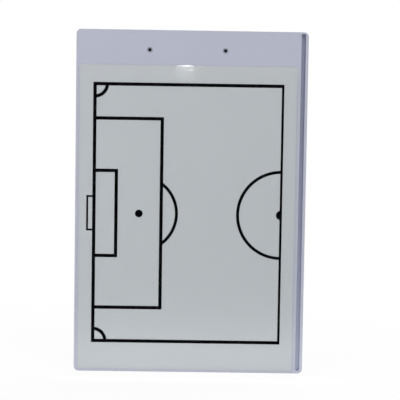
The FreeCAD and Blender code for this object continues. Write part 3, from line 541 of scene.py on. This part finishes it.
# Rivets
# Two tubular steel rivets through the clip base and the board. Their domed heads are on the clip side, and
# their hollow ends are rolled over into shallow seats in the half-pitch face.
HEAD_RADIUS, HEAD_HEIGHT, HEAD_EDGE = 3.4 * MM, 1.5 * MM, 0.5 * MM
HEAD_RIM, HEAD_UNDERCUT = 0.3 * MM, 0.1 * MM
SHANK_RADIUS, SHANK_LENGTH = 2.0 * MM, 5.9 * MM
BORE_RADIUS, CAP = 1.4 * MM, 0.6 * MM
ROLL, ROLL_NECK = 0.6 * MM, 0.2 * MM
MERGE = 0.002 * MM
GRAIN = 1.2 * MM
STAIN_AND_SHADE = 0.6 * MM

# Bright drawn steel: cool grey with a fine, slightly mottled grain, half polished by the heading tool.
steel, tree = new_material("bright_drawn_steel")
place = add_node(tree, "ShaderNodeTexCoord").outputs["Object"]
grain = add_node(tree, "ShaderNodeTexNoise", {"Vector": place, "Scale": 1 / GRAIN, "Detail": 4.0})
dullness = add_node(tree, "ShaderNodeMapRange", {
    "Value": grain.outputs["Fac"], "From Min": 0.3, "From Max": 0.7, "To Min": 0.24, "To Max": 0.42,
})
tone = add_node(tree, "ShaderNodeMix", {
    "Factor": grain.outputs["Fac"], "A": srgb("9DA0AA"), "B": srgb("868995"),
}, data_type="RGBA")
bare = add_node(tree, "ShaderNodeBsdfPrincipled", {
    "Base Color": tone.outputs["Result"], "Metallic": 1.0, "Roughness": dullness.outputs["Result"],
})
add_node(tree, "ShaderNodeOutputMaterial", {"Surface": bare.outputs["BSDF"]})

# Inside of a rolled tube: dark, partly from a stain of forming oil and partly as painted shade in the hollow
# bore, and dull.
bore_stain_and_shade, tree = new_material("oil_stain_and_painted_shade_bore")
place = add_node(tree, "ShaderNodeTexCoord").outputs["Object"]
stain_and_shade_noise = add_node(tree, "ShaderNodeTexNoise", {"Vector": place, "Scale": 1 / STAIN_AND_SHADE, "Detail": 3.0})
tone = add_node(tree, "ShaderNodeMix", {
    "Factor": stain_and_shade_noise.outputs["Fac"], "A": srgb("171A24"), "B": srgb("343845"),
}, data_type="RGBA")
bore_wall = add_node(tree, "ShaderNodeBsdfPrincipled", {
    "Base Color": tone.outputs["Result"], "Metallic": 0.6, "Roughness": 0.7,
})
add_node(tree, "ShaderNodeOutputMaterial", {"Surface": bore_wall.outputs["BSDF"]})


def turned(profile, axis, steps=40):
    """A solid of revolution about an axis through the origin, from (radius, along) points of its profile."""
    shape = bmesh.new()
    side = Vector((0, 0, 1))
    chain = [shape.verts.new(side * radius + Vector(axis) * along) for radius, along in profile]
    edges = [shape.edges.new(pair) for pair in zip(chain, chain[1:])]
    bmesh.ops.spin(shape, geom=chain + edges, cent=(0, 0, 0), axis=axis, angle=2 * math.pi, steps=steps,
                   use_merge=True)
    bmesh.ops.remove_doubles(shape, verts=shape.verts, dist=MERGE)
    face_outwards(shape)
    return shape


def arc(centre, radius, start, finish, steps):
    """Points of an arc in the plane of a profile. Angles are in degrees."""
    angles = [math.radians(start + (finish - start) * k / steps) for k in range(steps + 1)]
    return [(centre[0] + radius * math.cos(a), centre[1] + radius * math.sin(a)) for a in angles]


def new_shape_tree(name, inputs, output):
    """A geometry node tree with named inputs, each with its kind of socket, and one output."""
    tree = bpy.data.node_groups.new(name, "GeometryNodeTree")
    for label, kind in inputs:
        tree.interface.new_socket(label, in_out="INPUT", socket_type=kind)
    tree.interface.new_socket(output, in_out="OUTPUT", socket_type="NodeSocketGeometry")
    return tree, add_node(tree, "NodeGroupInput").outputs


def shape_by_tree(piece, tree, settings):
    """Puts a geometry node tree on a piece and sets its named inputs."""
    shaping = piece.modifiers.new(tree.name, "NODES")
    shaping.node_group = tree
    keys = {item.name: item.identifier for item in tree.interface.items_tree}
    for label, setting in settings.items():
        shaping[keys[label]] = setting


dome_height = HEAD_HEIGHT - HEAD_EDGE
dome_radius = (HEAD_RADIUS**2 + dome_height**2) / (2 * dome_height)
dome_edge = math.degrees(math.acos(HEAD_RADIUS / dome_radius))
roll_middle = ROLL - SHANK_LENGTH
profile = arc((0, HEAD_HEIGHT - dome_radius), dome_radius, 90, dome_edge, 8)
profile += [(HEAD_RADIUS, HEAD_RIM), (HEAD_RADIUS - HEAD_UNDERCUT, 0), (SHANK_RADIUS, 0)]
profile += [(SHANK_RADIUS, roll_middle + ROLL_NECK)]
profile += arc((SHANK_RADIUS, roll_middle), ROLL, 40, -180, 10)
profile += [(BORE_RADIUS, -CAP), (0, -CAP)]
rivet = turned(profile, (0, 1, 0))
# The faces inside the bore are marked for a dark material of oil stain and painted shade.
in_bore = rivet.faces.layers.bool.new("in_bore")
for face in rivet.faces:
    middle = face.calc_center_median()
    face[in_bore] = math.hypot(middle.x, middle.z) < BORE_RADIUS and roll_middle < middle.y < 0
rivets = new_piece("rivets", rivet, steel)

# One rivet is made once and set in the two holes by a node tree.
tree, given = new_shape_tree("rivet_pair", [
    ("Rivet", "NodeSocketGeometry"), ("Left hole", "NodeSocketVector"), ("Spacing", "NodeSocketFloat"),
    ("Finish", "NodeSocketMaterial"), ("Bore stain and shade", "NodeSocketMaterial"),
], "Rivets")
apart = add_node(tree, "ShaderNodeCombineXYZ", {"X": given["Spacing"]})
spots = add_node(tree, "GeometryNodeMeshLine", {
    "Count": 2, "Start Location": given["Left hole"], "Offset": apart.outputs["Vector"],
}, mode="OFFSET")
pair = add_node(tree, "GeometryNodeInstanceOnPoints", {
    "Points": spots.outputs["Mesh"], "Instance": given["Rivet"],
})
solid = add_node(tree, "GeometryNodeRealizeInstances", {"Geometry": pair.outputs["Instances"]})
bright = add_node(tree, "GeometryNodeSetMaterial", {
    "Geometry": solid.outputs["Geometry"], "Material": given["Finish"],
})
# The marked bore faces take the dark material of oil stain and painted shade.
bore = add_node(tree, "GeometryNodeInputNamedAttribute", {"Name": "in_bore"}, data_type="BOOLEAN")
finished = add_node(tree, "GeometryNodeSetMaterial", {
    "Geometry": bright.outputs["Geometry"], "Selection": bore.outputs["Attribute"],
    "Material": given["Bore stain and shade"],
})
add_node(tree, "NodeGroupOutput", {"Rivets": finished.outputs["Geometry"]})
head_seat = plate_middle + PLATE / 2
shape_by_tree(rivets, tree, {
    "Left hole": (hinge.x - RIVET_OUT, head_seat, hinge.z - RIVET_DOWN), "Spacing": 2 * RIVET_OUT,
    "Finish": steel, "Bore stain and shade": bore_stain_and_shade,
})
settle(rivets)
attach(rivets, "board")
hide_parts("rivet_left", "rivet_right")

# Hinge pin
# A plain steel pin through the ears of the base and the jaw. It is cut from drawn rod, pushed through, and
# given a low head at each end, so that it stays in the base while the jaw turns on it.
PIN_RADIUS, PIN_HEAD_RADIUS = 1.5 * MM, 2.3 * MM
PIN_SHANK, PIN_HEAD = 27.2 * MM, 0.9 * MM
PIN_HEAD_FORM = ((0, 1), (0.55, 0.95), (0.85, 0.7), (1, 0.3), (1, 0))  # shares of its radius and height
half = [(PIN_HEAD_RADIUS * wide, PIN_SHANK + PIN_HEAD * high) for wide, high in PIN_HEAD_FORM]
half.append((PIN_RADIUS, PIN_SHANK))
pin = turned(half + [(radius, -along) for radius, along in reversed(half)], (1, 0, 0), steps=32)
bmesh.ops.translate(pin, verts=pin.verts, vec=hinge)
clip_pin = settle(new_piece("hinge_pin", pin, steel))
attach(clip_pin, "board")
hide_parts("clip_pin")

# Torsion springs
# Two springs of hard-drawn wire wound on the pin between the ears. One leg of each lies on the base, the
# other presses up under the thumb lever and keeps the jaw shut.
WIRE, WIRE_SIDES = 1.2 * MM, 14
COIL_RADIUS, COIL_PITCH, COIL_STEPS = 2.8 * MM, 1.7 * MM, 120
COIL_OUTER_END = 22.6 * MM
# Four turns, less the half turn between the legs and the 20 degrees that the lever leans.
COIL_SWEEP = math.radians(4 * 360 - 180 - 20)
BASE_LEG, LEVER_LEG = 8.0 * MM, 9.5 * MM
DIE_MARK = 0.8 * MM

# Spring wire: dark grey steel, faintly mottled by the drawing dies, with a thin oily sheen.
wire_steel, tree = new_material("hard_drawn_spring_wire")
place = add_node(tree, "ShaderNodeTexCoord").outputs["Object"]
die_marks = add_node(tree, "ShaderNodeTexNoise", {"Vector": place, "Scale": 1 / DIE_MARK, "Detail": 4.0})
dullness = add_node(tree, "ShaderNodeMapRange", {
    "Value": die_marks.outputs["Fac"], "From Min": 0.3, "From Max": 0.7, "To Min": 0.28, "To Max": 0.45,
})
tone = add_node(tree, "ShaderNodeMix", {
    "Factor": die_marks.outputs["Fac"], "A": srgb("8D9096"), "B": srgb("73767C"),
}, data_type="RGBA")
drawn = add_node(tree, "ShaderNodeBsdfPrincipled", {
    "Base Color": tone.outputs["Result"], "Metallic": 1.0, "Roughness": dullness.outputs["Result"],
})
add_node(tree, "ShaderNodeOutputMaterial", {"Surface": drawn.outputs["BSDF"]})

# The wire follows its centre line by a node tree: a round section swept along a path.
tree, given = new_shape_tree("wound_wire", [
    ("Path", "NodeSocketGeometry"), ("Wire radius", "NodeSocketFloat"), ("Finish", "NodeSocketMaterial"),
], "Wire")
line = add_node(tree, "GeometryNodeMeshToCurve", {"Mesh": given["Path"]})
section = add_node(tree, "GeometryNodeCurvePrimitiveCircle", {
    "Resolution": WIRE_SIDES, "Radius": given["Wire radius"],
})
swept = add_node(tree, "GeometryNodeCurveToMesh", {
    "Curve": line.outputs["Curve"], "Profile Curve": section.outputs["Curve"], "Fill Caps": True,
})
solid = add_node(tree, "GeometryNodeRealizeInstances", {"Geometry": swept.outputs["Mesh"]})
finished = add_node(tree, "GeometryNodeSetMaterial", {
    "Geometry": solid.outputs["Geometry"], "Material": given["Finish"],
})
add_node(tree, "NodeGroupOutput", {"Wire": finished.outputs["Geometry"]})

for name, side in (("spring_left", -1), ("spring_right", 1)):
    path = []
    for step in range(COIL_STEPS + 1):
        angle = COIL_SWEEP * step / COIL_STEPS
        turn = math.pi + angle
        x = side * (COIL_OUTER_END - COIL_PITCH * angle / (2 * math.pi))
        path.append(Vector((x, COIL_RADIUS * math.cos(turn), COIL_RADIUS * math.sin(turn))))
    first_way = (path[0] - path[1]).normalized()
    last_way = (path[-1] - path[-2]).normalized()
    path = [path[0] + first_way * BASE_LEG, *path, path[-1] + last_way * LEVER_LEG]
    shape = bmesh.new()
    verts = [shape.verts.new(hinge + point) for point in path]
    for pair in zip(verts, verts[1:]):
        shape.edges.new(pair)
    spring = new_piece(name + "_wire", shape, wire_steel)
    shape_by_tree(spring, tree, {"Wire radius": WIRE / 2, "Finish": wire_steel})
    settle(spring)
    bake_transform(spring)
    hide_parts(name)

# Clip jaw
# Lip, crest and thumb lever in one steel pressing. The lip is wide and curls down to the board, the lever
# has a hole to hang the board by, and two ears on its sides turn on the pin. Plated like the base.
# Centres and the setback are measured from the pin, out of the board and along it.
JAW_HALF, LEVER_HALF = 50.0 * MM, 27.0 * MM
LIP_ARC, LIP_CENTRE, LIP_DROP, LIP_STEPS = 12.0 * MM, -7.5 * MM, 3.3 * MM, 24
SETBACK = 1.0346 * MM
CREST, CREST_CENTRE, CREST_STEPS = 8.0 * MM, 12.5 * MM, 5
LEVER_ANGLE, LEVER_LENGTH = math.radians(20), 15.2 * MM
WING_TOP = 6.0 * MM
HANG_HOLE_UP, HANG_HOLE_RADIUS = 8.968 * MM, 4.0 * MM
LIP_CORNER, WING_CORNER, SHOULDER, LEVER_CORNER = 0.8 * MM, 2.5 * MM, 4.0 * MM, 6.0 * MM
EAR_REACH = 0.9 * MM
SLIVER = 0.01 * MM
lip_angle = math.acos(LIP_DROP / LIP_ARC)
lip_length = LIP_ARC * lip_angle
crest_length = CREST * LEVER_ANGLE
lever_start = lip_length + crest_length
jaw_length = lever_start + LEVER_LENGTH
wing_run = lip_length - LIP_ARC * math.asin((WING_TOP - SETBACK) / LIP_ARC)


def jaw_point(run, lift):
    """Where the flat jaw's place along its length goes when it is bent: (out of the board, up)."""
    if run < lip_length:
        angle = lip_angle - run / LIP_ARC
        radius = LIP_ARC + lift
        return LIP_CENTRE + radius * math.cos(angle), -SETBACK - radius * math.sin(angle)
    angle = min((run - lip_length) / CREST, LEVER_ANGLE)
    past = max(run - lever_start, 0)
    radius = CREST - lift
    return (CREST_CENTRE - radius * math.cos(angle) + past * math.sin(angle),
            -SETBACK + radius * math.sin(angle) + past * math.cos(angle))


right_side = [(JAW_HALF, 0, LIP_CORNER), (JAW_HALF, wing_run, WING_CORNER), (LEVER_HALF, wing_run, SHOULDER),
              (LEVER_HALF, jaw_length, LEVER_CORNER)]
outline = rounded_loop(right_side + [(-x, run, radius) for x, run, radius in reversed(right_side)])
hang_hole = circle_loop(0, lever_start + HANG_HOLE_UP, HANG_HOLE_RADIUS, steps=40)
jaw = pressed_plate(outline, [hang_hole])
slice_across(jaw, 1, [lip_length * k / LIP_STEPS for k in range(1, LIP_STEPS + 1)])
slice_across(jaw, 1, [lip_length + crest_length * k / CREST_STEPS for k in range(1, CREST_STEPS + 1)])
for vert in jaw.verts:
    x, run, lift = vert.co
    out, up = jaw_point(run, lift)
    vert.co = hinge + Vector((x, out, up))
face_outwards(jaw)
clip_jaw = new_piece("clip_jaw_pressing", jaw, nickel)

# The ears are plates under the lever's sides, joined to it along their top edge.
ear_front = Vector((jaw_point(lip_length, 0)[0], -EAR_RADIUS))
ear_rear = Vector((jaw_point(lever_start + EAR_REACH, 0)[0], EAR_RADIUS))
for side in (-1, 1):
    ear = pressed_plate([ear_front, ear_rear, *ear_end(0, -1)], [circle_loop(0, 0, PIN_HOLE)])
    for vert in ear.verts:
        out, up, lift = vert.co
        vert.co = hinge + Vector((side * (LEVER_HALF - PLATE / 2) + lift, out, up))
    face_outwards(ear)
    ear_plate = new_piece("jaw_ear", ear, nickel)
    joint = clip_jaw.modifiers.new("jaw_ear", "BOOLEAN")
    joint.operation = "UNION"
    joint.solver = "EXACT"
    joint.object = ear_plate
    settle(clip_jaw)
    bpy.data.objects.remove(ear_plate)

# Joining leaves a few slivers, which are cleared away.
joined = bmesh.new()
joined.from_mesh(clip_jaw.data)
bmesh.ops.remove_doubles(joined, verts=joined.verts, dist=SLIVER)
bmesh.ops.triangulate(joined, faces=joined.faces, ngon_method="BEAUTY")
bmesh.ops.dissolve_degenerate(joined, edges=joined.edges, dist=SLIVER)
joined.to_mesh(clip_jaw.data)
joined.free()
settle(clip_jaw)
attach(clip_jaw, "jaw")
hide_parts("clip_jaw")

# Floor
# A pale studio table that the board stands on. It keeps the board's soft shadow, and is whiter further off,
# so that no line shows where it ends.
# Distances from the board's foot are in metres. Close by, a small share is left for the shadow.
FLOOR_HALF = 4.0
NEAR, FAR = 0.1, 0.6
NEAR_WHITE = 0.92


def background_rays(tree):
    """A socket that is 1 for rays that see the background, straight on, in a mirror or through glass."""
    ray = add_node(tree, "ShaderNodeLightPath").outputs
    straight_or_mirror = add_node(tree, "ShaderNodeMath", {
        0: ray["Is Camera Ray"], 1: ray["Is Glossy Ray"],
    }, operation="MAXIMUM")
    return add_node(tree, "ShaderNodeMath", {
        0: straight_or_mirror.outputs["Value"], 1: ray["Is Transmission Ray"],
    }, operation="MAXIMUM").outputs["Value"]


shape = bmesh.new()
bmesh.ops.create_grid(shape, x_segments=1, y_segments=1, size=FLOOR_HALF)
table, tree = new_material("white_table")
place = add_node(tree, "ShaderNodeTexCoord").outputs["Object"]
away = add_node(tree, "ShaderNodeVectorMath", {0: place}, operation="LENGTH")
whiteness = add_node(tree, "ShaderNodeMapRange", {
    "Value": away.outputs["Value"], "From Min": NEAR, "From Max": FAR, "To Min": NEAR_WHITE,
})
white_share = add_node(tree, "ShaderNodeMath", {
    0: background_rays(tree), 1: whiteness.outputs["Result"],
}, operation="MULTIPLY")
matt = add_node(tree, "ShaderNodeBsdfDiffuse", {"Color": srgb("F6F6F6")})
white = add_node(tree, "ShaderNodeEmission", {"Color": srgb("FFFFFF")})
surface = add_node(tree, "ShaderNodeMixShader", {
    0: white_share.outputs["Value"], 1: matt.outputs["BSDF"], 2: white.outputs["Emission"],
})
add_node(tree, "ShaderNodeOutputMaterial", {"Surface": surface.outputs["Shader"]})
floor = new_piece("floor", shape, table)

# Light
# Soft even light from the room, lamps on the left, high up, low down, at the foot and on the clip side, and a
# small lamp with a dim surround at about the camera's height. The cover's free edge mirrors the small lamp
# as a short bright bar.
ROOM_LIGHT = 0.63
world = bpy.data.worlds.new("studio")
bpy.context.scene.world = world
world.use_nodes = True
tree = world.node_tree
tree.nodes.clear()
level = add_node(tree, "ShaderNodeMapRange", {"Value": background_rays(tree), "To Min": ROOM_LIGHT})
sky = add_node(tree, "ShaderNodeBackground", {"Color": srgb("FFFFFF"), "Strength": level.outputs["Result"]})
add_node(tree, "ShaderNodeOutputWorld", {"Surface": sky.outputs["Background"]})


def add_lamp(name, place, target, size, power, mirrored=True, width=None):
    """A lamp that faces a point, square unless a width is given. Sizes are in metres, power in watts."""
    lamp = bpy.data.lights.new(name, "AREA")
    lamp.shape = "RECTANGLE"
    lamp.size = width or size
    lamp.size_y = size
    lamp.energy = power
    thing = bpy.data.objects.new(name, lamp)
    thing.location = place
    thing.rotation_euler = (Vector(target) - Vector(place)).to_track_quat("-Z", "Y").to_euler()
    thing.visible_camera = False
    thing.visible_glossy = mirrored
    bpy.context.scene.collection.objects.link(thing)


board_middle = (0, 0, 0.17)
cover_top = (0, 0, 0.3)
add_lamp("left_softbox", (-1.3, -0.9, 0.35), board_middle, 0.8, 3.1)
add_lamp("high_softbox", (0.3, -0.8, 1.15), board_middle, 0.3, 2.85)
add_lamp("low_left_softbox", (-0.45, -0.5, 0.12), (0, 0, 0), 0.2, 0.44, mirrored=False)
add_lamp("foot_strip", (0.01, -0.05, 0.012), (0.01, 0, 0.004), 0.02, 0.0175, mirrored=False, width=0.28)
add_lamp("rear_softbox", (0.7, 1.2, 1.1), board_middle, 1.35, 8.0)
add_lamp("flash", (-0.003, -1.25, 0.282), cover_top, 0.015, 0.0105)
add_lamp("flash_halo", (-0.008, -1.26, 0.26), cover_top, 0.045, 0.0076, width=0.03)

# Camera
# Placed by fitting the board's four corners to their places in the picture.
camera = bpy.data.cameras.new("camera")
camera.lens = 135
camera.sensor_width = 36
viewer = bpy.data.objects.new("camera", camera)
viewer.location = (-0.0064, -1.4592, 0.2882)
viewer.rotation_euler = tuple(math.radians(angle) for angle in (85.358, -0.891, -0.549))
bpy.context.scene.collection.objects.link(viewer)
bpy.context.scene.camera = viewer
bpy.context.scene.view_settings.view_transform = "Standard"
